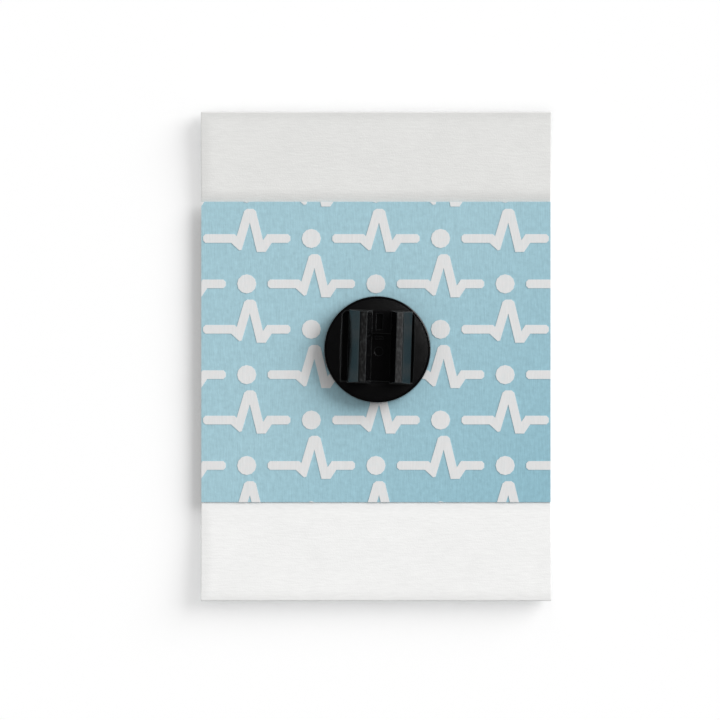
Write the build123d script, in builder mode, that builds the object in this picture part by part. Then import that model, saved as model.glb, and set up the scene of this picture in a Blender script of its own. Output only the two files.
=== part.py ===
from build123d import *
import os
from math import cos, radians, sin, tan

# A disposable monitoring electrode, lying gel side down as it is supplied. From below it is a clear
# release film, a rectangle of white foam with a round well, a gel pad and a silver-coated sensor in
# the well, a printed label band across the middle, and a black clip connector on the sensor's post.
# The origin is the middle of the underside, +Y runs along the sheet and +Z points up. Millimetres.

# The sheet, as it is cut
sheet_width = 40.0
sheet_length = 56.2

# The layers, from below
liner_thickness = 0.1
foam_thickness = 1.5
pressed_thickness = 1.3       # the foam under the label, where the laminating roll has pressed it
label_thickness = 0.18
print_thickness = 0.05

# The label band
label_length = 34.4
label_shift = 0.5             # from the sheet's middle, towards +Y

# The two bare strips, which lift a little beyond the stiffer label
strip_angle = 5.0
bend_radius = 12.0
dip_length = 1.7              # over which the foam rises from under the label to its full thickness
dip_angle = 14.0
end_round = 0.12

# The well and the gel
well_radius = 8.5
gel_clearance = 0.15

# The connector's place on the sheet
connector_x = 0.15
connector_y = 0.78
clip_turn = -1.75             # degrees, as it was pressed on

# The sensor eyelet
flange_radius = 4.5
flange_thickness = 0.3
flange_bevel = 0.12
post_neck_radius = 1.0
post_head_radius = 1.15
post_tip_bevel = 0.2
post_reach = 0.8              # into the connector
post_neck_reach = 0.2         # of that, before the head widens
fit_clearance = 0.05

# The connector's disc
disc_radius = 6.2             # at its foot
disc_thickness = 2.0
rim_radius = 6.06             # its side leans in towards the top
rim_round = 0.1
crown_radius = 4.2            # its top is level so far out, and beyond falls away to the rim
crown_drop = 0.16
foot_bevel = 0.15

# The slots that free the jaws from the disc's two side pads, so that they can spring apart
pad_offset = 4.12             # from the disc's middle to each pad
pad_bevel = 0.1
spring_block = 7.3            # across what stands between the slots
spring_shift = 0.2
spring_depth = 0.9
spring_length = 8.0
spring_reach = 5.7            # their ends follow a circle inside the rim

# The connector's two jaws
jaw_height = 1.7              # above the disc's top
jaw_length = 8.26
jaw_shift_x = 0.4             # the groove's middle, from the disc's
jaw_shift_y = 0.29
jaw_end_draft = 0.15
groove_floor = 2.2
groove_mouth = 3.34
jaw_foot = 7.5                # across both jaws at the disc's top
jaw_root_depth = 0.2          # below the slots' floor, inside the disc
jaw_shoulder = 4.88           # across both lands
land_tilt = 12.0              # each land falls away from the groove
shoulder_round = 0.5
ridge_round = 0.08

# Details of the groove's floor
detail_shift = 0.15           # their middle line, from the disc's
pocket_low = -3.6
pocket_high = 1.84
pocket_depth = 0.45
slot_width = 0.76
slot_length = 1.82
slot_high = 4.09
slot_depth = 0.35
stop_width = 0.95
stop_length = 0.36
stop_height = 0.22
stop_place = 1.36
gate_radius = 0.5
gate_depth = 0.1
gate_place = -0.21

# The print: rows of pulse traces and dots
stroke = 1.0
stroke_bevel = 0.27           # off the corners of its ends, peaks and dips
pulse_width = 10.0
pulse_height = 2.9
dot_radius = 1.1
dot_sides = 12
motif_gap = 1.3
row_pitch = 5.2
pulse_shares = (
    (0.0, 0.0),
    (0.34, 0.0),
    (0.41, -0.22),
    (0.515, 1.0),
    (0.56, 1.0),
    (0.655, -0.36),
    (0.69, -0.36),
    (0.76, 0.0),
    (1.0, 0.0),
)

# Every cut runs past its far side by this much
overrun = 0.5

foam_underside = liner_thickness
label_underside = foam_underside + pressed_thickness
label_top = label_underside + label_thickness
print_top = label_top + print_thickness
upper_strip = (sheet_length - label_length) / 2 - label_shift
lower_strip = (sheet_length - label_length) / 2 + label_shift
strips = ((1, upper_strip), (-1, lower_strip))
bend_length = radians(strip_angle) * bend_radius

os.makedirs("parts", exist_ok=True)


def strip_run(side, strip, depth):
    """Draw the bend and the straight run of one strip's underside, at a depth below the foam."""
    start = (label_shift + side * label_length / 2, foam_underside - depth)
    bend = JernArc(
        start=start, tangent=(side, 0), radius=bend_radius + depth, arc_size=side * strip_angle
    )
    run = Line(bend @ 1, bend @ 1 + (bend % 1) * (strip - bend_length))
    return bend, run


def post_outline(base, grown):
    """Draw half the outline of the sensor's post from a base height up, grown by a clearance."""
    neck_top = print_top + post_neck_reach
    head_start = neck_top + post_head_radius - post_neck_radius
    post_top = print_top + post_reach
    Polyline(
        (0, base),
        (post_neck_radius + grown, base),
        (post_neck_radius + grown, neck_top),
        (post_head_radius + grown, head_start),
        (post_head_radius + grown, post_top - post_tip_bevel),
        (post_head_radius + grown - post_tip_bevel, post_top + grown),
        (0, post_top + grown),
        close=True,
    )


# The release liner: a clear film under the whole sheet, which bends up with the strips
with BuildPart() as release_liner:
    with BuildSketch(Plane.YZ.offset(-sheet_width / 2)):
        with Locations((label_shift, 0)):
            Rectangle(label_length, liner_thickness, align=(Align.CENTER, Align.MIN))
        for side, strip in strips:
            with BuildLine():
                bend, run = strip_run(side, strip, 0)
                outer_bend, outer_run = strip_run(side, strip, liner_thickness)
                Line(bend @ 0, outer_bend @ 0)
                Line(run @ 1, outer_run @ 1)
            make_face()
    extrude(amount=sheet_width)

# The foam: pressed thinner under the label, and rounded off at its two cut ends
with BuildPart() as foam_backing:
    with BuildSketch(Plane.YZ.offset(-sheet_width / 2)):
        with Locations((label_shift, foam_underside)):
            Rectangle(label_length, pressed_thickness, align=(Align.CENTER, Align.MIN))
        for side, strip in strips:
            with BuildLine():
                bend, run = strip_run(side, strip, 0)
                rise = run % 1
                outward = Vector(-side * rise.Y, side * rise.X)
                label_edge = (bend @ 0) + Vector(0, pressed_thickness)
                dip_end = (run @ 0) + rise * (dip_length - bend_length) + outward * foam_thickness
                end_top = (run @ 1) + outward * foam_thickness
                Line(run @ 1, end_top)
                Line(end_top, dip_end)
                Spline(
                    dip_end,
                    label_edge,
                    tangents=(-rise, (-side * cos(radians(dip_angle)), -sin(radians(dip_angle)))),
                )
                Line(label_edge, bend @ 0)
            make_face()
    extrude(amount=sheet_width)
    end_edges = [
        foam_backing.faces().sort_by(Axis.Y)[index].edges().sort_by(Axis.Z)[-1] for index in (0, -1)
    ]
    fillet(end_edges, radius=end_round)
    with BuildSketch(Plane.XY):
        with Locations((connector_x, connector_y)):
            Circle(well_radius)
    extrude(amount=label_underside + overrun, mode=Mode.SUBTRACT)

# The gel pad: a disc that fills the well, with a shallow seat for the sensor's flange
with BuildPart() as gel_pad:
    with BuildSketch(Plane.XY.offset(foam_underside)):
        with Locations((connector_x, connector_y)):
            Circle(well_radius - gel_clearance)
    extrude(amount=pressed_thickness)
    with BuildSketch(Plane.XY.offset(label_underside)):
        with Locations((connector_x, connector_y)):
            Circle(flange_radius + gel_clearance)
    extrude(amount=-flange_thickness, mode=Mode.SUBTRACT)

# The sensor eyelet: a thin flange under the label and a post with a snap head, turned about one axis
connector_axis = Axis((connector_x, connector_y, 0), (0, 0, 1))
turning_plane = Plane(origin=(connector_x, connector_y, 0), x_dir=(1, 0, 0), z_dir=(0, -1, 0))
with BuildPart() as sensor_eyelet:
    with BuildSketch(turning_plane):
        with Locations((0, label_underside - flange_thickness)):
            Rectangle(flange_radius, flange_thickness, align=(Align.MIN, Align.MIN))
        with BuildLine():
            post_outline(label_underside - flange_thickness, 0)
        make_face()
    revolve(axis=connector_axis)
    chamfer(sensor_eyelet.edges().group_by(Axis.Z)[0], length=flange_bevel)

# The label: a thin band across the sheet, pierced for the sensor's post
with BuildPart() as printed_label:
    with BuildSketch(Plane.XY.offset(label_underside)):
        with Locations((0, label_shift)):
            Rectangle(sheet_width, label_length)
        with Locations((connector_x, connector_y)):
            Circle(post_neck_radius + fit_clearance, mode=Mode.SUBTRACT)
    extrude(amount=label_thickness)

# The print: rows of a pulse trace and a dot in turn, each row set off by half a repeat
repeat = pulse_width + 2 * dot_radius + 2 * motif_gap
row_pairs = int(label_length / row_pitch / 2) + 2
repeat_count = int(sheet_width / repeat) + 3
with BuildSketch() as pulse:
    with BuildLine() as trace_line:
        Polyline([(pulse_width * (x - 1 / 2), pulse_height * y) for x, y in pulse_shares])
        offset(amount=stroke / 2, kind=Kind.INTERSECTION, side=Side.BOTH)
    make_face()
    Rectangle(pulse_width, 4 * pulse_height, mode=Mode.INTERSECT)
    for along in (Axis.X, Axis.Y):
        for index in (0, -1):
            chamfer(pulse.vertices().group_by(along)[index], length=stroke_bevel)
with BuildPart() as label_print:
    with BuildSketch(Plane.XY.offset(label_top)):
        with Locations(
            (0, label_shift + row_pitch / 2), (repeat / 2, label_shift - row_pitch / 2)
        ):
            with GridLocations(repeat, 2 * row_pitch, repeat_count, row_pairs):
                add(pulse.sketch)
        with Locations(
            (repeat / 2, label_shift + row_pitch / 2), (0, label_shift - row_pitch / 2)
        ):
            with GridLocations(repeat, 2 * row_pitch, repeat_count, row_pairs):
                RegularPolygon(dot_radius, dot_sides)
        with Locations((0, label_shift)):
            Rectangle(sheet_width, label_length, mode=Mode.INTERSECT)
        with Locations((connector_x, connector_y)):
            Circle(post_neck_radius + fit_clearance, mode=Mode.SUBTRACT)
    extrude(amount=print_thickness)

# The connector's jaws: one section along the groove, cut to a side profile with drafted ends
seat = Plane(Location((connector_x, connector_y, print_top), (0, 0, clip_turn)))
ridge_level = disc_thickness + jaw_height
slot_floor = disc_thickness - spring_depth
jaw_root = slot_floor - jaw_root_depth
groove_middle = seat.from_local_coords((jaw_shift_x, jaw_shift_y, 0))
section_plane = Plane(origin=groove_middle, x_dir=seat.x_dir, z_dir=-seat.y_dir)
side_plane = Plane(origin=groove_middle, x_dir=seat.y_dir, z_dir=seat.x_dir)
land_drop = (jaw_shoulder - groove_mouth) / 2 * tan(radians(land_tilt))
with BuildPart() as jaws:
    with BuildSketch(section_plane) as jaws_section:
        with BuildLine():
            Polyline(
                (groove_floor / 2, jaw_root),
                (groove_floor / 2, disc_thickness),
                (groove_mouth / 2, ridge_level),
                (jaw_shoulder / 2, ridge_level - land_drop),
                (jaw_foot / 2, disc_thickness),
                (jaw_foot / 2, jaw_root),
                close=True,
            )
        make_face()
        fillet(jaws_section.vertices().sort_by(Axis.Y)[-2], radius=shoulder_round)
        fillet(jaws_section.vertices().sort_by(Axis.Y)[-1], radius=ridge_round)
        mirror(about=Plane.YZ)
        with Locations((spring_shift - jaw_shift_x, 0)):
            Rectangle(spring_block, 2 * ridge_level, mode=Mode.INTERSECT)
    extrude(amount=jaw_length / 2, both=True)
    with BuildSketch(side_plane):
        with BuildLine():
            Polyline(
                (-jaw_length / 2, jaw_root),
                (-jaw_length / 2, disc_thickness),
                (-jaw_length / 2 + jaw_end_draft, ridge_level),
                (jaw_length / 2 - jaw_end_draft, ridge_level),
                (jaw_length / 2, disc_thickness),
                (jaw_length / 2, jaw_root),
                close=True,
            )
        make_face()
    extrude(amount=jaw_foot / 2, both=True, mode=Mode.INTERSECT)
    with BuildSketch(seat):
        Circle(rim_radius - rim_round)
    extrude(amount=ridge_level + overrun, mode=Mode.INTERSECT)

# The room of the two slots, from under each jaw's land out to the bevelled edge of its pad
with BuildPart() as spring_slots:
    with BuildSketch(section_plane):
        for side in (-1, 1):
            slot_inner = side * jaw_shoulder / 2
            slot_outer = side * pad_offset - jaw_shift_x
            with BuildLine():
                Polyline(
                    (slot_inner, slot_floor),
                    (slot_outer, slot_floor),
                    (slot_outer, disc_thickness - pad_bevel),
                    (slot_outer + side * (pad_bevel + overrun), disc_thickness + overrun),
                    (slot_inner, disc_thickness + overrun),
                    close=True,
                )
            make_face()
    extrude(amount=spring_length / 2, both=True)
    with BuildSketch(seat):
        Circle(spring_reach)
    extrude(amount=disc_thickness + overrun, mode=Mode.INTERSECT)

# The clip connector: a disc, the two jaws between their slots, and the details of the groove's floor
with BuildPart() as clip_connector:
    with BuildSketch(turning_plane):
        with BuildLine():
            Polyline(
                (0, print_top),
                (disc_radius, print_top),
                (rim_radius, print_top + disc_thickness - crown_drop),
                (crown_radius, print_top + disc_thickness),
                (0, print_top + disc_thickness),
                close=True,
            )
        make_face()
    revolve(axis=connector_axis)
    fillet(
        clip_connector.edges().filter_by(GeomType.CIRCLE).sort_by(Axis.Z)[1], radius=rim_round
    )
    chamfer(
        clip_connector.edges().filter_by(GeomType.CIRCLE).sort_by(Axis.Z)[0], length=foot_bevel
    )
    add(spring_slots.part, mode=Mode.SUBTRACT)
    add(jaws.part)
    with BuildSketch(seat.offset(disc_thickness)):
        with Locations((jaw_shift_x, (pocket_low + pocket_high) / 2)):
            Rectangle(groove_floor, pocket_high - pocket_low)
    extrude(amount=-pocket_depth, mode=Mode.SUBTRACT)
    with BuildSketch(seat.offset(disc_thickness)):
        with Locations((detail_shift, slot_high - slot_length / 2)):
            Rectangle(slot_width, slot_length)
    extrude(amount=-slot_depth, mode=Mode.SUBTRACT)
    with BuildSketch(seat.offset(disc_thickness - pocket_depth)):
        with Locations((detail_shift, stop_place)):
            Rectangle(stop_width, stop_length)
    extrude(amount=stop_height)
    with BuildSketch(seat.offset(disc_thickness - pocket_depth)):
        with Locations((detail_shift, gate_place)):
            Circle(gate_radius)
    extrude(amount=-gate_depth, mode=Mode.SUBTRACT)
    with BuildSketch(turning_plane):
        with BuildLine():
            post_outline(print_top - overrun, fit_clearance)
        make_face()
    revolve(axis=connector_axis, mode=Mode.SUBTRACT)

release_liner.part.label = "release_liner"
export_step(release_liner.part, "parts/release_liner.step")
foam_backing.part.label = "foam_backing"
export_step(foam_backing.part, "parts/foam_backing.step")
gel_pad.part.label = "gel_pad"
export_step(gel_pad.part, "parts/gel_pad.step")
sensor_eyelet.part.label = "sensor_eyelet"
export_step(sensor_eyelet.part, "parts/sensor_eyelet.step")
printed_label.part.label = "printed_label"
export_step(printed_label.part, "parts/printed_label.step")
label_print.part.label = "label_print"
export_step(label_print.part, "parts/label_print.step")
clip_connector.part.label = "clip_connector"
export_step(clip_connector.part, "parts/clip_connector.step")
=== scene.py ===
import math

import bpy
import numpy as np
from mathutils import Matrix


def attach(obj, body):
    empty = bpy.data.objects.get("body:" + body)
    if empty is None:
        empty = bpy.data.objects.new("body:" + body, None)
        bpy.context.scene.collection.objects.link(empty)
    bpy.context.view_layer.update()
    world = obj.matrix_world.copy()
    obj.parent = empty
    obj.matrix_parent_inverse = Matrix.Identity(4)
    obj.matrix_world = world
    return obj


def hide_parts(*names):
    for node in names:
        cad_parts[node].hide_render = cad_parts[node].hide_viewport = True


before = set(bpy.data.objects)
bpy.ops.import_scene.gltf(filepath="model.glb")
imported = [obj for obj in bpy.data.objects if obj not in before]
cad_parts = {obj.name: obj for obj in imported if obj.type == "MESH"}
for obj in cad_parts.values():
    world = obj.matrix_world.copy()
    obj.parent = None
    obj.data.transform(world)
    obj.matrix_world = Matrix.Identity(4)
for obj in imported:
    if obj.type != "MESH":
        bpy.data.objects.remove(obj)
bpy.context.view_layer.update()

# The camera
# It looks straight down from a third of a metre, through a long lens, with the electrode a little to
# the right of the picture's middle, as in the photograph.
MM = 0.001
view_width = 82.5 * MM         # of what it sees at the foam's face
view_middle = (-1.83 * MM, -0.42 * MM)
foam_face = 1.5 * MM           # above the paper
lens_length, sensor_size = 150.0, 36.0      # in millimetres, as Blender takes them

camera_lens = bpy.data.cameras.new("copy_stand")
camera_lens.lens = lens_length
camera_lens.sensor_width = sensor_size
camera = bpy.data.objects.new("copy_stand", camera_lens)
camera.location = (*view_middle, foam_face + view_width * lens_length / sensor_size)
bpy.context.scene.collection.objects.link(camera)
bpy.context.scene.camera = camera
bpy.context.scene.view_settings.view_transform = "Standard"

# The studio
# White paper on a table, one broad and far softbox to the right and a little towards the sheet's upper
# end, and an even pale room. Flags keep the room above the horizon out of what glossy plastic mirrors.
paper_white = "#FAFAFA"
paper_size = 3.0           # metres
paper_lift = 0.045         # the glow that it adds to its own light where the camera sees it
room_white = "#FFFFFF"
room_level = 0.515         # of the room's own light on the object
flag_level = 0.02          # what the flags leave of the room in a mirror
flags_from = 0.02          # sine of the height at which they begin
flags_to = 0.14            # and at which they cover all
softbox_turn = 31.0        # degrees from +X towards +Y
softbox_height = 32.0      # degrees above the table
softbox_spread = 44.0      # degrees across, as the object sees it
softbox_power = 2.88


def linear(colour):
    """An sRGB hex colour as linear red, green, blue and an alpha of one."""
    shares = [int(colour[at : at + 2], 16) / 255 for at in (1, 3, 5)]
    return [s / 12.92 if s <= 0.04045 else ((s + 0.055) / 1.055) ** 2.4 for s in shares] + [1.0]


def add(tree, kind, settings=None, links=None):
    """Adds a node. A setting names a property of the node or else a socket, and a link feeds a socket."""
    made = tree.nodes.new("ShaderNode" + kind)
    for name, value in (settings or {}).items():
        if isinstance(name, str) and hasattr(made, name):
            setattr(made, name, value)
        else:
            made.inputs[name].default_value = value
    for name, source in (links or {}).items():
        tree.links.new(source, made.inputs[name])
    return made


def empty_tree(owner):
    """Empties a material's or the world's node tree and returns it with its output node."""
    owner.use_nodes = True
    owner.node_tree.nodes.clear()
    kind = "OutputWorld" if isinstance(owner, bpy.types.World) else "OutputMaterial"
    return owner.node_tree, add(owner.node_tree, kind)


def new_object(name, mesh, material):
    """Links a mesh as an object at the origin, with one material."""
    mesh.materials.append(material)
    made = bpy.data.objects.new(name, mesh)
    bpy.context.scene.collection.objects.link(made)
    return made


paper = bpy.data.materials.new("matt_white_paper")
tree, output = empty_tree(paper)
ray = add(tree, "LightPath")
matt = add(tree, "BsdfDiffuse", {"Color": linear(paper_white)})
seen = add(tree, "Math", {"operation": "MULTIPLY", 1: paper_lift}, {0: ray.outputs["Is Camera Ray"]})
lift = add(tree, "Emission", {"Color": linear(paper_white)}, {"Strength": seen.outputs[0]})
both = add(tree, "AddShader", {}, {0: matt.outputs[0], 1: lift.outputs[0]})
tree.links.new(both.outputs[0], output.inputs["Surface"])

half = paper_size / 2
paper_corners = [(-half, -half, 0), (half, -half, 0), (half, half, 0), (-half, half, 0)]
paper_mesh = bpy.data.meshes.new("paper")
paper_mesh.from_pydata(paper_corners, [], [(0, 1, 2, 3)])
new_object("paper", paper_mesh, paper)

world = bpy.data.worlds.new("studio")
bpy.context.scene.world = world
tree, output = empty_tree(world)
ray = add(tree, "LightPath")
aim = add(tree, "TexCoord")
aim_part = add(tree, "SeparateXYZ", {}, {0: aim.outputs["Generated"]})

# How bright the room is in a mirror, as light on the object, and where the camera sees it
mirrored = add(
    tree,
    "MapRange",
    {"From Min": flags_from, "From Max": flags_to, "To Min": 1.0, "To Max": flag_level},
    {"Value": aim_part.outputs["Z"]},
)
room = add(
    tree,
    "Mix",
    {"data_type": "FLOAT", "A": room_level},
    {"Factor": ray.outputs["Is Glossy Ray"], "B": mirrored.outputs[0]},
)
straight = add(
    tree,
    "Math",
    {"operation": "MAXIMUM"},
    {0: ray.outputs["Is Camera Ray"], 1: ray.outputs["Is Transmission Ray"]},
)
level = add(
    tree,
    "Mix",
    {"data_type": "FLOAT", "B": 1.0},
    {"Factor": straight.outputs[0], "A": room.outputs[0]},
)
sky = add(tree, "Background", {"Color": linear(room_white)}, {"Strength": level.outputs[0]})
tree.links.new(sky.outputs[0], output.inputs["Surface"])

softbox_light = bpy.data.lights.new("softbox", "SUN")
softbox_light.angle = math.radians(softbox_spread)
softbox_light.energy = softbox_power
softbox = bpy.data.objects.new("softbox", softbox_light)
turn, rise = math.radians(softbox_turn), math.radians(softbox_height)
softbox.location = (math.cos(rise) * math.cos(turn), math.cos(rise) * math.sin(turn), math.sin(rise))
softbox.rotation_euler = softbox.location.to_track_quat("Z", "Y").to_euler()
bpy.context.scene.collection.objects.link(softbox)

# The release liner
# A clear polyester film under the whole sheet, on its adhesive until the electrode is used. It is cut
# with the foam in one stroke, so the two share their edge, and it bends up with the bare strips.
sheet_width = 40.0 * MM
sheet_length = 56.2 * MM
liner_thickness = 0.1 * MM
label_length = 34.4 * MM
label_shift = 0.5 * MM           # of its middle from the sheet's, towards the upper end
strip_angle = math.radians(5.0)  # of the bare strips' rise
bend_radius = 12.0 * MM
across_count = 140               # of the grids' steps across the sheet and along the label
strip_count = 72                 # and along each bare strip


def bent(x, y, height):
    """Carries flat places to the bent sheet. Beyond the label's edge the sheet's underside follows an arc
    of bend_radius until it has turned by strip_angle, and then its tangent. Height is measured square to
    it."""
    x, y, height = np.broadcast_arrays(x, y, height)
    beyond = np.abs(y - label_shift) - label_length / 2
    side = np.sign(y - label_shift)
    run = np.maximum(beyond, 0.0)
    turned = np.minimum(run / bend_radius, strip_angle)
    straight_run = run - turned * bend_radius
    out = np.minimum(beyond, 0.0) + label_length / 2
    out = out + bend_radius * np.sin(turned) + straight_run * np.cos(turned) - height * np.sin(turned)
    up = bend_radius * (1 - np.cos(turned)) + straight_run * np.sin(turned) + height * np.cos(turned)
    return np.stack([x, label_shift + side * out, liner_thickness + up], axis=-1)


merge_grid = 0.0005 * MM
sharp_turn = math.radians(40.0)


def joined(name, patches, material):
    """Makes one mesh of several grids of points, each rows by columns by three, and merges the points
    that fall together on merge_grid. Edges that turn by more than sharp_turn stay sharp."""
    corners, faces, base = [], [], 0
    for patch in patches:
        rows, columns = patch.shape[:2]
        index = base + np.arange(rows * columns).reshape(rows, columns)
        quads = [index[:-1, :-1], index[:-1, 1:], index[1:, 1:], index[1:, :-1]]
        faces.append(np.stack(quads, axis=-1).reshape(-1, 4))
        corners.append(patch.reshape(-1, 3))
        base += rows * columns
    corners = np.concatenate(corners)
    keys = np.round(corners / merge_grid).astype(np.int64)
    _, first, same = np.unique(keys, axis=0, return_index=True, return_inverse=True)
    faces = same.reshape(-1)[np.concatenate(faces)]
    mesh = bpy.data.meshes.new(name)
    mesh.vertices.add(len(first))
    mesh.vertices.foreach_set("co", corners[first].ravel())
    mesh.loops.add(faces.size)
    mesh.loops.foreach_set("vertex_index", faces.ravel().astype(np.int32))
    mesh.polygons.add(len(faces))
    mesh.polygons.foreach_set("loop_start", np.arange(0, faces.size, 4, dtype=np.int32))
    mesh.update(calc_edges=True)
    mesh.validate()
    mesh.shade_smooth()
    mesh.set_sharp_from_angle(angle=sharp_turn)
    return new_object(name, mesh, material)


def crowded(count):
    """Shares from 0 to 1 that stand closer together near both ends, as half a cosine wave does."""
    return (1 - np.cos(np.pi * np.arange(count + 1) / count)) / 2


xs = sheet_width * (crowded(across_count) - 0.5)
label_ends = label_shift + label_length / 2 * np.array([-1.0, 1.0])
low_ys = -sheet_length / 2 + (label_ends[0] + sheet_length / 2) * crowded(strip_count)
high_ys = label_ends[1] + (sheet_length / 2 - label_ends[1]) * crowded(strip_count)
middle_ys = label_ends[0] + label_length * crowded(across_count)
liner_ys = np.concatenate([low_ys, middle_ys[1:-1], high_ys])

# Stretched polyester is clear and glossy. A faint haze and slow ripples break up what it mirrors.
film_tone = "#F3F8FA"
film_haze_size = 9.0 * MM
film_ripple_size, film_ripple_depth = 5.0 * MM, 0.05 * MM
film_clearness = 0.96       # of the lamp's light, through each of its faces
polyester_ior = 1.57
clear_film = bpy.data.materials.new("clear_polyester_film")
tree, output = empty_tree(clear_film)
where = add(tree, "TexCoord")
haze = add(
    tree,
    "TexNoise",
    {"Scale": 1 / film_haze_size, "Detail": 2.0},
    {"Vector": where.outputs["Object"]},
)
gloss = add(tree, "MapRange", {"To Min": 0.04, "To Max": 0.14}, {"Value": haze.outputs["Fac"]})
ripple = add(
    tree,
    "TexNoise",
    {"Scale": 1 / film_ripple_size, "Detail": 1.0},
    {"Vector": where.outputs["Object"]},
)
relief = add(
    tree,
    "Bump",
    {"Strength": 0.2, "Distance": film_ripple_depth},
    {"Height": ripple.outputs["Fac"]},
)
shade = add(
    tree,
    "BsdfPrincipled",
    {"Base Color": linear(film_tone), "Transmission Weight": 1.0, "IOR": polyester_ior},
    {"Roughness": gloss.outputs[0], "Normal": relief.outputs[0]},
)
ray = add(tree, "LightPath")
passed = add(tree, "Math", {"operation": "MULTIPLY", 1: film_clearness}, {0: ray.outputs["Is Shadow Ray"]})
open_way = add(tree, "BsdfTransparent")
clear = add(tree, "MixShader", {}, {0: passed.outputs[0], 1: shade.outputs[0], 2: open_way.outputs[0]})
tree.links.new(clear.outputs[0], output.inputs["Surface"])

# Its top, underside, ends and sides, which all face outwards
edge_levels = np.linspace(-liner_thickness, 0.0, 3)[:, None]
patches = [
    bent(xs, liner_ys[:, None], 0.0),
    bent(xs, liner_ys[:, None], -liner_thickness)[::-1],
    bent(xs, liner_ys[0], edge_levels),
    bent(xs, liner_ys[-1], edge_levels)[::-1],
    bent(xs[0], liner_ys, edge_levels)[::-1],
    bent(xs[-1], liner_ys, edge_levels),
]
liner = joined("clear_release_film", patches, clear_film)
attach(liner, "root")
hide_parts("release_liner")

# The foam backing
# White closed-cell polyethylene foam with a fine ripple from the knife that split it off its roll. The
# label's laminating roll has pressed its middle thinner, and a round well is punched through it there.
foam_thickness = 1.5 * MM
pressed_thickness = 1.3 * MM
dip_length = 1.7 * MM        # over which it thins towards the label
end_round = 0.12 * MM
side_round = 0.04 * MM
well_radius = 8.5 * MM
connector_middle = np.array([0.15, 0.78]) * MM
wall_count = 10              # of the steps up each wall
ring_count = 36              # and from the well's rim to the label's outline
swell_height = 0.012 * MM    # of each of two waves
swell_length = 7.0 * MM
swell_turns = np.array([[1.0, 2.0], [2.3, -1.0]])      # each wave's run across and along the sheet


def foam_top(x, y):
    """The foam's height above its underside. Away from the label it rises from pressed_thickness by a
    parabola over dip_length, and two slow sine waves swell it. Quarter circles round off its cut ends
    and, much smaller, its sides."""
    beyond = np.maximum(np.abs(y - label_shift) - label_length / 2, 0.0)
    share = np.minimum(beyond / dip_length, 1.0)
    top = pressed_thickness + (foam_thickness - pressed_thickness) * (1 - (1 - share) ** 2)
    for turns_x, turns_y in swell_turns:
        top = top + share * swell_height * np.sin((turns_x * x + turns_y * y) / swell_length)
    for inwards, radius in (
        (sheet_length / 2 - np.abs(y), end_round),
        (sheet_width / 2 - np.abs(x), side_round),
    ):
        near = np.clip(radius - inwards, 0.0, radius)
        top = top - (radius - np.sqrt(radius**2 - near**2))
    return top


def ring_plan(middle, radius, xs, ys, shares):
    """The flat places between a circle and a rectangle. Each place on the rectangle's outline, followed
    all the way round, is joined to the circle by a straight line towards the circle's middle, and the
    shares run along it."""
    outline = np.concatenate(
        [
            np.stack([xs[:-1], np.full(len(xs) - 1, ys[0])], axis=1),
            np.stack([np.full(len(ys) - 1, xs[-1]), ys[:-1]], axis=1),
            np.stack([xs[:0:-1], np.full(len(xs) - 1, ys[-1])], axis=1),
            np.stack([np.full(len(ys), xs[0]), ys[::-1]], axis=1),
        ]
    )
    away = outline - middle
    circle = middle + radius * away / np.linalg.norm(away, axis=1, keepdims=True)
    places = circle + shares[:, None, None] * (outline - circle)
    return places[..., 0], places[..., 1]


# Polyethylene foam is matt white and lets light through. The splitting knife leaves fine ripples across
# the sheet and the pinpricks of cut cells, and its cut sides are duller. Painted shade darkens it near its
# cut edges and beside the label, and darkens its upper end against its lower.
# Painted shade and light: the upper end is painted darker and the lower end lighter, for how the lamp falls
# on the two bent ends
shaded_upper_tone, lit_lower_tone = "#E7E7E5", "#EFEFEE"         # at the sheet's two ends
ripple_across, ripple_along = 1.3 * MM, 0.2 * MM      # each ripple's length along X and its width along Y
ripple_depth = 0.03 * MM
cell_size, cell_depth = 0.16 * MM, 0.02 * MM
mottle_size = 3.0 * MM
# Painted shade darkens the foam near its cut edges and beside the label
shade_reach = 1.7 * MM      # from each cut edge and from the label
edge_shade_tone = 0.92
shade_shift = 0.6 * MM      # the painted edge shade is lighter at the sheet's right edge, which faces the lamp
cut_tone = 0.8              # of its sides, which are full of open cells
side_up, top_up = 0.1, 0.7  # the normal's upright part on a side and on the top
let_through = 0.67          # of the lamp's light, by each of its faces
plastic_ior = 1.5
noise_span = {"From Min": 0.3, "From Max": 0.7}       # between which nearly all of a noise lies
foam = bpy.data.materials.new("split_polyethylene_foam")
tree, output = empty_tree(foam)
where = add(tree, "TexCoord")
place = add(tree, "SeparateXYZ", {}, {0: where.outputs["Object"]})
shade_up_sheet = add(
    tree,
    "MapRange",
    {"From Min": -label_length / 2, "From Max": label_length / 2},
    {"Value": place.outputs["Y"]},
)
# Painted shade: darker towards the sheet's upper end
tone = add(
    tree,
    "Mix",
    {"data_type": "RGBA", 6: linear(lit_lower_tone), 7: linear(shaded_upper_tone)},
    {0: shade_up_sheet.outputs[0]},
)
stretched = add(
    tree,
    "Mapping",
    {"Scale": (1 / ripple_across, 1 / ripple_along, 1 / ripple_along)},
    {"Vector": where.outputs["Object"]},
)
ripples = add(
    tree, "TexNoise", {"Scale": 1.0, "Detail": 3.0, "Roughness": 0.6}, {"Vector": stretched.outputs[0]}
)
mottle = add(
    tree, "TexNoise", {"Scale": 1 / mottle_size, "Detail": 3.0}, {"Vector": where.outputs["Object"]}
)
cells = add(tree, "TexVoronoi", {"Scale": 1 / cell_size}, {"Vector": where.outputs["Object"]})
shadow = add(
    tree,
    "MapRange",
    {**noise_span, "To Min": 0.965, "To Max": 1.02},
    {"Value": ripples.outputs["Fac"]},
)
cloud = add(
    tree,
    "MapRange",
    {**noise_span, "To Min": 0.985, "To Max": 1.01},
    {"Value": mottle.outputs["Fac"]},
)
edge_gaps = []              # how far a place is from the sides, the ends and the label's edges
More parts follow.
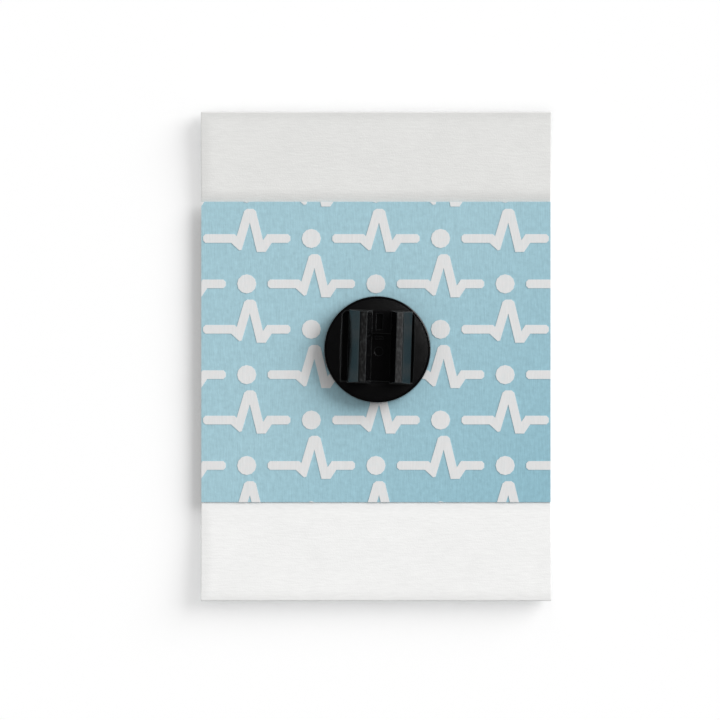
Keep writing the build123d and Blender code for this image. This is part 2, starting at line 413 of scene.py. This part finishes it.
for axis, middle_line, half_length in (
    ("X", shade_shift, sheet_width / 2 + shade_shift),
    ("Y", 0.0, sheet_length / 2),
    ("Y", label_shift, label_length / 2),
):
    off = add(tree, "Math", {"operation": "SUBTRACT", 1: middle_line}, {0: place.outputs[axis]})
    size = add(tree, "Math", {"operation": "ABSOLUTE"}, {0: off.outputs[0]})
    gap = add(tree, "Math", {"operation": "SUBTRACT", 1: half_length}, {0: size.outputs[0]})
    edge_gaps.append(add(tree, "Math", {"operation": "ABSOLUTE"}, {0: gap.outputs[0]}).outputs[0])
nearer = add(tree, "Math", {"operation": "MINIMUM"}, {0: edge_gaps[0], 1: edge_gaps[1]})
nearest = add(tree, "Math", {"operation": "MINIMUM"}, {0: nearer.outputs[0], 1: edge_gaps[2]})
# Painted shade: darker near the cut edges and the label, less at the right edge
painted_edge_shade = add(
    tree,
    "MapRange",
    {"interpolation_type": "SMOOTHERSTEP", "From Max": shade_reach, "To Min": edge_shade_tone, "To Max": 1.0},
    {"Value": nearest.outputs[0]},
)
facing = add(tree, "SeparateXYZ", {}, {0: where.outputs["Normal"]})
opened = add(
    tree,
    "MapRange",
    {"From Min": side_up, "From Max": top_up, "To Min": cut_tone, "To Max": 1.0},
    {"Value": facing.outputs["Z"]},
)
cut_and_shaded = add(tree, "Math", {"operation": "MULTIPLY"}, {0: opened.outputs[0], 1: painted_edge_shade.outputs[0]})
mottled_and_shaded = add(tree, "Math", {"operation": "MULTIPLY"}, {0: cloud.outputs[0], 1: cut_and_shaded.outputs[0]})
depth = add(tree, "Math", {"operation": "MULTIPLY"}, {0: shadow.outputs[0], 1: mottled_and_shaded.outputs[0]})
tinted = add(tree, "VectorMath", {"operation": "SCALE"}, {0: tone.outputs[2], "Scale": depth.outputs[0]})
rough = add(tree, "MapRange", {"To Min": 0.6, "To Max": 0.85}, {"Value": ripples.outputs["Fac"]})
cut = add(tree, "Bump", {"Strength": 0.35, "Distance": cell_depth}, {"Height": cells.outputs["Distance"]})
relief = add(
    tree,
    "Bump",
    {"Strength": 0.5, "Distance": ripple_depth},
    {"Height": ripples.outputs["Fac"], "Normal": cut.outputs[0]},
)
shade = add(
    tree,
    "BsdfPrincipled",
    {"IOR": plastic_ior, "Specular IOR Level": 0.25},
    {"Base Color": tinted.outputs[0], "Roughness": rough.outputs[0], "Normal": relief.outputs[0]},
)
ray = add(tree, "LightPath")
passed = add(tree, "Math", {"operation": "MULTIPLY", 1: let_through}, {0: ray.outputs["Is Shadow Ray"]})
open_way = add(tree, "BsdfTransparent")
glow = add(tree, "MixShader", {}, {0: passed.outputs[0], 1: shade.outputs[0], 2: open_way.outputs[0]})
tree.links.new(glow.outputs[0], output.inputs["Surface"])

# The part under the label with its well, then the two bare strips with the cut ends, then the sides
wall_shares = np.linspace(0.0, 1.0, wall_count + 1)[:, None]
ring_x, ring_y = ring_plan(connector_middle, well_radius, xs, middle_ys, crowded(ring_count))
well_x, well_y = ring_x[0], ring_y[0]
patches = [
    bent(ring_x, ring_y, foam_top(ring_x, ring_y))[::-1],
    bent(ring_x, ring_y, 0.0),
    bent(well_x, well_y, wall_shares * foam_top(well_x, well_y))[::-1],
]
for ys, end in ((low_ys, -1), (high_ys, 1)):
    rows = ys[:, None]
    patches += [bent(xs, rows, foam_top(xs, rows)), bent(xs, rows, 0.0)[::-1]]
    end_y = end * sheet_length / 2
    end_wall = bent(xs, end_y, wall_shares * foam_top(xs, end_y))
    patches.append(end_wall if end < 0 else end_wall[::-1])
for ys in (low_ys, middle_ys, high_ys):
    for edge in (xs[0], xs[-1]):
        side_wall = bent(edge, ys, wall_shares * foam_top(edge, ys))
        patches.append(side_wall[::-1] if edge < 0 else side_wall)
backing = joined("foam_sheet", patches, foam)
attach(backing, "root")
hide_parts("foam_backing")

# The gel pad
# A soft disc of clear, faintly blue salt gel, poured into the well. Its upper face has a shallow seat
# for the sensor's flange, and its rim stands a hair off the foam.
gel_radius = 8.35 * MM
gel_seat_radius = 4.65 * MM
gel_seat_depth = 0.3 * MM
gel_round = 0.18 * MM
turn_count = 128             # of the steps in a whole turn


def lathe(outline, middle):
    """Carries an outline of radius and height round a vertical axis, and closes it after a whole turn."""
    angles = np.linspace(0.0, 2 * np.pi, turn_count + 1)[None, :]
    radius, height = np.array(outline).T[:, :, None]
    return np.stack(
        [middle[0] + radius * np.cos(angles), middle[1] + radius * np.sin(angles), height + 0 * angles],
        axis=-1,
    )


def corner(radius, height, size, start, count=6):
    """Places on a quarter circle about a middle, from a start angle in degrees, turning anticlockwise."""
    angles = np.radians(start + np.linspace(0.0, 90.0, count))
    return list(zip(radius + size * np.cos(angles), height + size * np.sin(angles)))


# Poured gel is wet, smooth and nearly clear, with swirls of a fainter and a deeper blue.
faint_gel, deep_gel = "#DCEBF0", "#C9DEE6"
swirl_size, swirl_depth = 2.5 * MM, 0.1 * MM
gel_ior = 1.36
gel = bpy.data.materials.new("clear_salt_gel")
tree, output = empty_tree(gel)
where = add(tree, "TexCoord")
swirl = add(tree, "TexNoise", {"Scale": 1 / swirl_size, "Detail": 3.0}, {"Vector": where.outputs["Object"]})
tint = add(
    tree,
    "Mix",
    {"data_type": "RGBA", 6: linear(faint_gel), 7: linear(deep_gel)},
    {0: swirl.outputs["Fac"]},
)
relief = add(tree, "Bump", {"Strength": 0.3, "Distance": swirl_depth}, {"Height": swirl.outputs["Fac"]})
shade = add(
    tree,
    "BsdfPrincipled",
    {"Transmission Weight": 0.75, "IOR": gel_ior, "Roughness": 0.12},
    {"Base Color": tint.outputs[2], "Normal": relief.outputs[0]},
)
tree.links.new(shade.outputs[0], output.inputs["Surface"])

gel_low = liner_thickness
gel_high = liner_thickness + pressed_thickness
seat_floor = gel_high - gel_seat_depth
gel_outline = [
    (0.0, gel_low),
    (gel_radius / 2, gel_low),
    *corner(gel_radius - gel_round, gel_low + gel_round, gel_round, -90.0),
    *corner(gel_radius - gel_round, gel_high - gel_round, gel_round, 0.0),
    (gel_seat_radius, gel_high),
    (gel_seat_radius, seat_floor),
    (gel_seat_radius / 2, seat_floor),
    (0.0, seat_floor),
]
pad = joined("gel_disc", [lathe(gel_outline, connector_middle)], gel)
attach(pad, "root")
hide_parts("gel_pad")

# The sensor eyelet
# A moulded eyelet with a coat of silver and silver chloride, dull grey with a faint violet cast where
# the chloride is thicker. Its flange lies in the gel and its post holds the connector.
bare_silver, chloride_grey = "#B9B6B1", "#8F8A93"
tarnish_size = 1.6 * MM
crystal_size, crystal_depth = 0.08 * MM, 0.01 * MM    # coarser than the real crystals, so that they show


def dress(name, material):
    """Gives a piece that is shown as packed one material."""
    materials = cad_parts[name].data.materials
    materials.clear()
    materials.append(material)


silver = bpy.data.materials.new("silver_chloride_coat")
tree, output = empty_tree(silver)
where = add(tree, "TexCoord")
tarnish = add(
    tree, "TexNoise", {"Scale": 1 / tarnish_size, "Detail": 5.0}, {"Vector": where.outputs["Object"]}
)
crystals = add(
    tree, "TexNoise", {"Scale": 1 / crystal_size, "Detail": 2.0}, {"Vector": where.outputs["Object"]}
)
coat = add(
    tree,
    "Mix",
    {"data_type": "RGBA", 6: linear(bare_silver), 7: linear(chloride_grey)},
    {0: tarnish.outputs["Fac"]},
)
rough = add(tree, "MapRange", {"To Min": 0.38, "To Max": 0.6}, {"Value": tarnish.outputs["Fac"]})
relief = add(
    tree,
    "Bump",
    {"Strength": 0.3, "Distance": crystal_depth},
    {"Height": crystals.outputs["Fac"]},
)
shade = add(
    tree,
    "BsdfPrincipled",
    {"Metallic": 0.8},
    {"Base Color": coat.outputs[2], "Roughness": rough.outputs[0], "Normal": relief.outputs[0]},
)
tree.links.new(shade.outputs[0], output.inputs["Surface"])
dress("sensor_eyelet", silver)

# The label
# A band of thin spunlaced polyester, dyed pale blue, with its fibres lying along the sheet. It is glued
# across the foam and cut with it, and the sensor's post comes up through a small hole in its middle.
label_thickness = 0.18 * MM
label_hole = 1.05 * MM           # its radius
label_ring_count = 60            # of the steps from the hole's rim to the label's outline

# Spunlaced polyester is matt and soft. Its fibres show as fine streaks along the sheet over a felted
# mottle, and the blue deepens towards the sheet's lower right corner.
plain_blue, deep_blue = "#A2C6D1", "#8FBAC8"
deeper_from, deeper_to = -4.0 * MM, 34.0 * MM         # of a place's x less its y
fibre_width, fibre_run = 0.16 * MM, 1.6 * MM          # wider than the real fibres, so that they show
fibre_depth = 0.03 * MM
felt_size = 0.55 * MM
weave_span = {"From Min": 0.7, "From Max": 1.3}       # between which nearly all of two noises' sum lies


def drawn_fibres(tree, where):
    """A noise that is drawn out along the sheet."""
    stretch = (1 / fibre_width, 1 / fibre_run, 1 / fibre_width)
    drawn = add(tree, "Mapping", {"Scale": stretch}, {"Vector": where.outputs["Object"]})
    looks = {"Scale": 1.0, "Detail": 4.0, "Roughness": 0.65}
    return add(tree, "TexNoise", looks, {"Vector": drawn.outputs[0]})


nonwoven = bpy.data.materials.new("spunlaced_polyester")
tree, output = empty_tree(nonwoven)
where = add(tree, "TexCoord")
place = add(tree, "SeparateXYZ", {}, {0: where.outputs["Object"]})
across = add(tree, "Math", {"operation": "SUBTRACT"}, {0: place.outputs["X"], 1: place.outputs["Y"]})
towards = add(
    tree,
    "MapRange",
    {"From Min": deeper_from, "From Max": deeper_to},
    {"Value": across.outputs[0]},
)
blue_shift = add(
    tree,
    "Mix",
    {"data_type": "RGBA", 6: linear(plain_blue), 7: linear(deep_blue)},
    {0: towards.outputs[0]},
)
fibres = drawn_fibres(tree, where)
felt = add(
    tree,
    "TexNoise",
    {"Scale": 1 / felt_size, "Detail": 4.0, "Roughness": 0.6},
    {"Vector": where.outputs["Object"]},
)
weave = add(tree, "Math", {"operation": "ADD"}, {0: fibres.outputs["Fac"], 1: felt.outputs["Fac"]})
depth = add(
    tree,
    "MapRange",
    {**weave_span, "To Min": 0.9, "To Max": 1.09},
    {"Value": weave.outputs[0]},
)
tinted = add(tree, "VectorMath", {"operation": "SCALE"}, {0: blue_shift.outputs[2], "Scale": depth.outputs[0]})
rough = add(tree, "MapRange", {"To Min": 0.65, "To Max": 0.9}, {"Value": felt.outputs["Fac"]})
relief = add(tree, "Bump", {"Strength": 0.6, "Distance": fibre_depth}, {"Height": weave.outputs[0]})
shade = add(
    tree,
    "BsdfPrincipled",
    {"Sheen Weight": 0.08, "Sheen Roughness": 0.5, "Specular IOR Level": 0.25},
    {"Base Color": tinted.outputs[0], "Roughness": rough.outputs[0], "Normal": relief.outputs[0]},
)
tree.links.new(shade.outputs[0], output.inputs["Surface"])

# Its top, underside, hole and cut edge
label_low = pressed_thickness
label_high = pressed_thickness + label_thickness
edge_levels = np.linspace(label_low, label_high, 3)[:, None]
band_x, band_y = ring_plan(connector_middle, label_hole, xs, middle_ys, crowded(label_ring_count))
patches = [
    bent(band_x, band_y, label_high)[::-1],
    bent(band_x, band_y, label_low),
    bent(band_x[0], band_y[0], edge_levels)[::-1],
    bent(band_x[-1], band_y[-1], edge_levels),
]
label = joined("blue_label", patches, nonwoven)
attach(label, "root")
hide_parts("printed_label")

# The print
# Soft white ink in rows of pulse traces and dots. The fibres drink some of it, so it is chalky, faintly
# uneven and a little rosy beside the blue.
rosy_white, bluish_white = "#E4E0DF", "#DADFE0"
ink_depth = 0.02 * MM        # of what still shows of the fibres under it
ink = bpy.data.materials.new("chalky_white_ink")
tree, output = empty_tree(ink)
where = add(tree, "TexCoord")
fibres = drawn_fibres(tree, where)
soak = add(tree, "TexNoise", {"Scale": 1 / felt_size, "Detail": 3.0}, {"Vector": where.outputs["Object"]})
white = add(
    tree,
    "Mix",
    {"data_type": "RGBA", 6: linear(rosy_white), 7: linear(bluish_white)},
    {0: soak.outputs["Fac"]},
)
depth = add(
    tree,
    "MapRange",
    {**noise_span, "To Min": 0.96, "To Max": 1.03},
    {"Value": fibres.outputs["Fac"]},
)
tinted = add(tree, "VectorMath", {"operation": "SCALE"}, {0: white.outputs[2], "Scale": depth.outputs[0]})
relief = add(tree, "Bump", {"Strength": 0.5, "Distance": ink_depth}, {"Height": fibres.outputs["Fac"]})
shade = add(
    tree,
    "BsdfPrincipled",
    {"Roughness": 0.7, "Specular IOR Level": 0.3},
    {"Base Color": tinted.outputs[0], "Normal": relief.outputs[0]},
)
tree.links.new(shade.outputs[0], output.inputs["Surface"])
dress("label_print", ink)

# The clip connector
# Black polyamide, injection moulded in one piece and pressed onto the sensor's post. Its mould was
# spark-eroded over the disc and the lands, and polished on the jaws' steep sides and round the rim.
disc_top = 3.63 * MM                    # above the paper
land_rise = 1.0 * MM                    # above the disc's top, and level up there are only the lands
steep_up, level_up = 0.8, 0.94          # the normal's upright part on a steep and a level face
rim_band, rim_blur = 5.75 * MM, 0.1 * MM
crown_from = 4.1 * MM                   # from the disc's middle, as rim_band is
groove_middle = (0.54 * MM, 1.06 * MM)
groove_size = (1.3 * MM, 4.2 * MM)      # half across and half along
groove_blur = 0.05                      # of that size

# Moulded polyamide is a deep black. The eroded faces mirror softly, the scuffed lands hardly at all and
# the polished sides clearly, with a blue cast painted into their reflections for the label beside them.
# A painted highlight in grey follows the rounded edges inside the rim, fainter in the shaded groove, and
# the marks that sliding plugs have left on the lands show grey.
plastic_black, plastic_brown = "#050506", "#080708"
haze_size, haze_depth = 0.9 * MM, 0.02 * MM
speck_size, speck_depth = 0.12 * MM, 0.02 * MM
faint_specks, full_specks = 0.15, 0.8   # how strong they are on steep and on level faces
disc_rough, land_rough, flank_rough = 0.34, 0.62, 0.12
groove_share, rim_share = 0.65, 0.3     # of the roughness, in the groove and at the rim
# A painted reflection: the blue of the label, tinted into what the steep sides mirror
flank_label_blue, no_tint = "#CEF5FF", "#FFFFFF"
edge_radius = 0.1 * MM
edge_from, edge_to = 0.995, 0.93        # how alike a face and its rounded edge look as the painted edge highlight sets in
edge_highlight_share = 0.7             # share of the grey tone on an edge, as a painted highlight
groove_highlight_share = 0.3           # of that painted highlight, down in the shaded groove
land_wear = 0.44            # share of the scuffed tone where a plug has marked the lands
grit_width, grit_run = 0.22 * MM, 0.5 * MM      # of those marks, across and along the jaws
grit_from, grit_to = 0.45, 0.7          # of the noise, as a mark sets in
# A grey for the plug marks on the lands and for the painted edge highlight
scuff_and_highlight_grey = "#4C4F50"
slope_gain = 1.05           # the plastic sank as it cooled, so its slopes look a bit steeper
crown_lean = 0.08           # how far the skin leans out at the rim, beyond its modelled fall
moulded = bpy.data.materials.new("moulded_black_polyamide")
tree, output = empty_tree(moulded)
where = add(tree, "TexCoord")
haze = add(tree, "TexNoise", {"Scale": 1 / haze_size, "Detail": 4.0}, {"Vector": where.outputs["Object"]})
specks = add(
    tree, "TexNoise", {"Scale": 1 / speck_size, "Detail": 2.0}, {"Vector": where.outputs["Object"]}
)

# Whether a place is level, on the jaws, at the rim or in the groove, each from 0 to 1
place = add(tree, "SeparateXYZ", {}, {0: where.outputs["Object"]})
high = add(
    tree,
    "MapRange",
    {"From Min": disc_top, "From Max": disc_top + land_rise},
    {"Value": place.outputs["Z"]},
)
facing = add(tree, "SeparateXYZ", {}, {0: where.outputs["Normal"]})
level_face = add(
    tree,
    "MapRange",
    {"From Min": steep_up, "From Max": level_up},
    {"Value": facing.outputs["Z"]},
)
from_middle = add(
    tree,
    "Mapping",
    {"Location": (-connector_middle[0], -connector_middle[1], 0.0)},
    {"Vector": where.outputs["Object"]},
)
flat_place = add(
    tree, "VectorMath", {"operation": "MULTIPLY", 1: (1.0, 1.0, 0.0)}, {0: from_middle.outputs[0]}
)
reach = add(tree, "VectorMath", {"operation": "LENGTH"}, {0: flat_place.outputs[0]})
at_rim = add(
    tree,
    "MapRange",
    {"From Min": rim_band, "From Max": rim_band + rim_blur},
    {"Value": reach.outputs["Value"]},
)
in_groove = add(
    tree,
    "Mapping",
    {
        "Location": (-groove_middle[0] / groove_size[0], -groove_middle[1] / groove_size[1], 0.0),
        "Scale": (1 / groove_size[0], 1 / groove_size[1], 0.0),
    },
    {"Vector": where.outputs["Object"]},
)
off_groove = add(tree, "VectorMath", {"operation": "ABSOLUTE"}, {0: in_groove.outputs[0]})
groove_part = add(tree, "SeparateXYZ", {}, {0: off_groove.outputs[0]})
farther = add(
    tree, "Math", {"operation": "MAXIMUM"}, {0: groove_part.outputs["X"], 1: groove_part.outputs["Y"]}
)
outside = add(
    tree,
    "MapRange",
    {"From Min": 1.0 - groove_blur, "From Max": 1.0},
    {"Value": farther.outputs[0]},
)

# Its colour, with a painted highlight along the edges inside the rim, and the marks on the lands
tone = add(
    tree,
    "Mix",
    {"data_type": "RGBA", 6: linear(plastic_black), 7: linear(plastic_brown)},
    {0: haze.outputs["Fac"]},
)
broken = add(tree, "Bevel", {"samples": 6, "Radius": edge_radius})
likeness = add(
    tree,
    "VectorMath",
    {"operation": "DOT_PRODUCT"},
    {0: broken.outputs[0], 1: where.outputs["Normal"]},
)
# Painted highlight: grey where the rounded edges would catch light, weaker in the groove, none at the rim
edge = add(
    tree,
    "MapRange",
    {"From Min": edge_from, "From Max": edge_to, "To Max": edge_highlight_share},
    {"Value": likeness.outputs["Value"]},
)
groove_shaded = add(tree, "MapRange", {"To Min": groove_highlight_share, "To Max": 1.0}, {"Value": outside.outputs[0]})
lit_edges = add(tree, "Math", {"operation": "MULTIPLY"}, {0: edge.outputs[0], 1: groove_shaded.outputs[0]})
within = add(tree, "Math", {"operation": "SUBTRACT", 0: 1.0}, {1: at_rim.outputs[0]})
painted_edge_highlight = add(tree, "Math", {"operation": "MULTIPLY"}, {0: lit_edges.outputs[0], 1: within.outputs[0]})
streaked = add(
    tree,
    "Mapping",
    {"Scale": (1 / grit_width, 1 / grit_run, 1 / grit_width)},
    {"Vector": where.outputs["Object"]},
)
grit = add(
    tree, "TexNoise", {"Scale": 1.0, "Detail": 2.0, "Roughness": 0.6}, {"Vector": streaked.outputs[0]}
)
grains = add(
    tree,
    "MapRange",
    {"From Min": grit_from, "From Max": grit_to, "To Max": land_wear},
    {"Value": grit.outputs["Fac"]},
)
on_lands = add(tree, "Math", {"operation": "MULTIPLY"}, {0: level_face.outputs[0], 1: high.outputs[0]})
marked = add(tree, "Math", {"operation": "MULTIPLY"}, {0: on_lands.outputs[0], 1: grains.outputs[0]})
highlight_and_wear = add(tree, "Math", {"operation": "MAXIMUM"}, {0: painted_edge_highlight.outputs[0], 1: marked.outputs[0]})
colour = add(
    tree,
    "Mix",
    {"data_type": "RGBA", 7: linear(scuff_and_highlight_grey)},
    {0: highlight_and_wear.outputs[0], 6: tone.outputs[2]},
)

# Its gloss, zone by zone
scuffed = add(tree, "MapRange", {"To Min": disc_rough, "To Max": land_rough}, {"Value": high.outputs[0]})
eroded = add(
    tree,
    "MapRange",
    {"To Min": flank_rough},
    {"Value": level_face.outputs[0], "To Max": scuffed.outputs[0]},
)
grooved = add(tree, "MapRange", {"To Min": groove_share, "To Max": 1.0}, {"Value": outside.outputs[0]})
plain = add(tree, "Math", {"operation": "MULTIPLY"}, {0: eroded.outputs[0], 1: grooved.outputs[0]})
rimmed = add(tree, "MapRange", {"To Min": 1.0, "To Max": rim_share}, {"Value": at_rim.outputs[0]})
zoned = add(tree, "Math", {"operation": "MULTIPLY"}, {0: plain.outputs[0], 1: rimmed.outputs[0]})
clouded = add(tree, "MapRange", {"To Min": 0.8, "To Max": 1.2}, {"Value": haze.outputs["Fac"]})
rough = add(tree, "Math", {"operation": "MULTIPLY"}, {0: zoned.outputs[0], 1: clouded.outputs[0]})
# Painted reflection: the steep sides' reflections are tinted blue, for the label they face
off_flanks = add(tree, "Math", {"operation": "MAXIMUM"}, {0: level_face.outputs[0], 1: at_rim.outputs[0]})
painted_label_reflection = add(
    tree,
    "Mix",
    {"data_type": "RGBA", 6: linear(flank_label_blue), 7: linear(no_tint)},
    {0: off_flanks.outputs[0]},
)

# Its skin: rounded edges, sunken slopes and a crown that leans out, then the mould's specks and haze
sunken = add(
    tree,
    "VectorMath",
    {"operation": "MULTIPLY", 1: (slope_gain, slope_gain, 1.0)},
    {0: broken.outputs[0]},
)
outer = add(
    tree,
    "MapRange",
    {"From Min": crown_from, "From Max": rim_band, "To Max": crown_lean},
    {"Value": reach.outputs["Value"]},
)
outwards = add(tree, "VectorMath", {"operation": "NORMALIZE"}, {0: flat_place.outputs[0]})
lean = add(tree, "VectorMath", {"operation": "SCALE"}, {0: outwards.outputs[0], "Scale": outer.outputs[0]})
leaning = add(tree, "VectorMath", {"operation": "ADD"}, {0: sunken.outputs[0], 1: lean.outputs[0]})
skin = add(tree, "VectorMath", {"operation": "NORMALIZE"}, {0: leaning.outputs[0]})
speckled = add(
    tree,
    "MapRange",
    {"To Min": faint_specks, "To Max": full_specks},
    {"Value": level_face.outputs[0]},
)
pitted = add(
    tree,
    "Bump",
    {"Distance": speck_depth},
    {"Strength": speckled.outputs[0], "Height": specks.outputs["Fac"], "Normal": skin.outputs[0]},
)
relief = add(
    tree,
    "Bump",
    {"Strength": 0.3, "Distance": haze_depth},
    {"Height": haze.outputs["Fac"], "Normal": pitted.outputs[0]},
)
shade = add(
    tree,
    "BsdfPrincipled",
    {"IOR": plastic_ior},
    {
        "Base Color": colour.outputs[2],
        "Specular Tint": painted_label_reflection.outputs[2],
        "Roughness": rough.outputs[0],
        "Normal": relief.outputs[0],
    },
)
tree.links.new(shade.outputs[0], output.inputs["Surface"])
dress("clip_connector", moulded)
